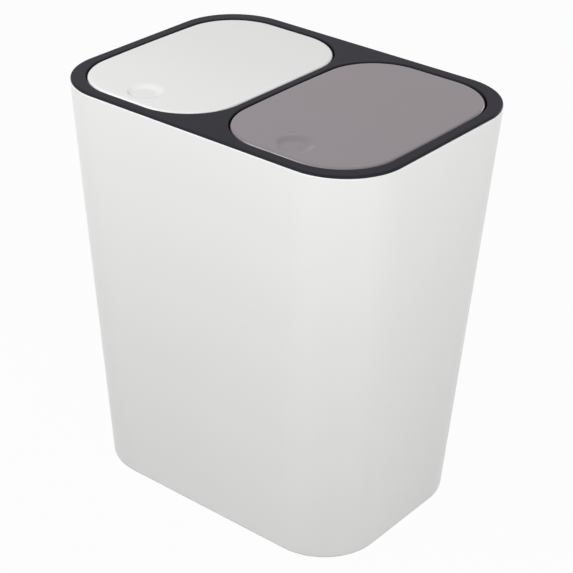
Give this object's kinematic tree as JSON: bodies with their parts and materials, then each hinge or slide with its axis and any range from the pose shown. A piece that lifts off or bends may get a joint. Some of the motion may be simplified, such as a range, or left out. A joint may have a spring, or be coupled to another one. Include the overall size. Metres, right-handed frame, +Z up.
{
  "type": "double recycling bin",
  "caption": "Free-standing tapered waste bin with two removable inner buckets under a lift-off frame and two push-to-open hinged lids, one white and one grey.",
  "frame": {"origin": "middle of the footprint, on the floor under the rubber feet", "axes": "+X along the wide front towards the grey lid, +Y to the hinged rear, +Z up"},
  "size_m": [0.358, 0.261, 0.41],
  "materials": {
    "body": "white moulded plastic, satin",
    "frame": "charcoal moulded plastic, satin",
    "left_lid": "white moulded plastic, satin",
    "right_lid": "warm grey moulded plastic, satin",
    "bucket": "mid grey moulded plastic",
    "handle": "charcoal moulded plastic",
    "latch_parts": "natural low-friction plastic",
    "latch_case": "charcoal moulded plastic",
    "steel": "bright drawn steel",
    "feet": "soft rubber"
  },
  "bodies": {
    "shell": {"outer_shell": "body", "rubber_feet": "feet"},
    "frame": {"lid_frame": "frame", "left_hinge_pin": "steel", "left_hinge_spring": "steel", "left_latch_housing": "latch_case", "left_latch_cap": "latch_case", "left_latch_spring": "steel", "left_latch_cam_wire": "steel", "right_hinge_pin": "steel", "right_hinge_spring": "steel", "right_latch_housing": "latch_case", "right_latch_cap": "latch_case", "right_latch_spring": "steel", "right_latch_cam_wire": "steel"},
    "left_lid_body": {"left_lid": "left_lid", "left_lid_striker": "latch_parts"},
    "left_slider_body": {"left_latch_slider": "latch_parts", "left_latch_jaw_pins": "steel"},
    "left_left_jaw_body": {"left_latch_left_jaw": "latch_parts"},
    "left_right_jaw_body": {"left_latch_right_jaw": "latch_parts"},
    "left_bucket_body": {"left_bucket": "bucket"},
    "left_handle_body": {"left_bucket_handle": "handle"},
    "right_lid_body": {"right_lid": "right_lid", "right_lid_striker": "latch_parts"},
    "right_slider_body": {"right_latch_slider": "latch_parts", "right_latch_jaw_pins": "steel"},
    "right_left_jaw_body": {"right_latch_left_jaw": "latch_parts"},
    "right_right_jaw_body": {"right_latch_right_jaw": "latch_parts"},
    "right_bucket_body": {"right_bucket": "bucket"},
    "right_handle_body": {"right_bucket_handle": "handle"}
  },
  "joints": [
    {"name": "frame_lift", "type": "slide", "parent": "shell", "child": "frame", "axis": [0, 0, 1], "range_m": [0, 0.6]},
    {"name": "left_lid_hinge", "type": "hinge", "parent": "frame", "child": "left_lid_body", "pos_m": [-0.08565, 0.1226, 0.40485], "axis": [-1, 0, 0], "range_deg": [-0.6, 85], "deforming": ["left_hinge_spring"]},
    {"name": "left_latch_slide", "type": "slide", "parent": "frame", "child": "left_slider_body", "axis": [0, 0, 1], "range_m": [0, 0.004], "deforming": ["left_latch_spring", "left_latch_cam_wire"]},
    {"name": "left_left_jaw_swing", "type": "hinge", "parent": "left_slider_body", "child": "left_left_jaw_body", "pos_m": [-0.09165, -0.106, 0.38849], "axis": [0, -1, 0], "range_deg": [0, 20]},
    {"name": "left_right_jaw_swing", "type": "hinge", "parent": "left_slider_body", "child": "left_right_jaw_body", "pos_m": [-0.07965, -0.106, 0.38849], "axis": [0, 1, 0], "range_deg": [0, 20]},
    {"name": "left_bucket_lift", "type": "slide", "parent": "shell", "child": "left_bucket_body", "axis": [0, 0, 1], "range_m": [0, 0.421]},
    {"name": "left_handle_swing", "type": "hinge", "parent": "left_bucket_body", "child": "left_handle_body", "pos_m": [-0.08695, 0, 0.3756], "axis": [1, 0, 0], "range_deg": [0, 90]},
    {"name": "right_lid_hinge", "type": "hinge", "parent": "frame", "child": "right_lid_body", "pos_m": [0.08565, 0.1226, 0.40485], "axis": [-1, 0, 0], "range_deg": [-0.6, 85], "deforming": ["right_hinge_spring"]},
    {"name": "right_latch_slide", "type": "slide", "parent": "frame", "child": "right_slider_body", "axis": [0, 0, 1], "range_m": [0, 0.004], "deforming": ["right_latch_spring", "right_latch_cam_wire"]},
    {"name": "right_left_jaw_swing", "type": "hinge", "parent": "right_slider_body", "child": "right_left_jaw_body", "pos_m": [0.07965, -0.106, 0.38849], "axis": [0, -1, 0], "range_deg": [0, 20]},
    {"name": "right_right_jaw_swing", "type": "hinge", "parent": "right_slider_body", "child": "right_right_jaw_body", "pos_m": [0.09165, -0.106, 0.38849], "axis": [0, 1, 0], "range_deg": [0, 20]},
    {"name": "right_bucket_lift", "type": "slide", "parent": "shell", "child": "right_bucket_body", "axis": [0, 0, 1], "range_m": [0, 0.421]},
    {"name": "right_handle_swing", "type": "hinge", "parent": "right_bucket_body", "child": "right_handle_body", "pos_m": [0.08695, 0, 0.3756], "axis": [1, 0, 0], "range_deg": [0, 90]}
  ],
  "couplings": [
    {"joint": "left_left_jaw_swing", "follows": "left_latch_slide", "rad_per_m": 87.2},
    {"joint": "left_right_jaw_swing", "follows": "left_latch_slide", "rad_per_m": 87.2},
    {"joint": "left_bucket_lift", "follows": "frame_lift", "ratio": 0.7},
    {"joint": "left_handle_swing", "follows": "frame_lift", "rad_per_m": 2.617},
    {"joint": "right_left_jaw_swing", "follows": "right_latch_slide", "rad_per_m": 87.2},
    {"joint": "right_right_jaw_swing", "follows": "right_latch_slide", "rad_per_m": 87.2},
    {"joint": "right_bucket_lift", "follows": "frame_lift", "ratio": 0.7},
    {"joint": "right_handle_swing", "follows": "frame_lift", "rad_per_m": 2.617}
  ]
}
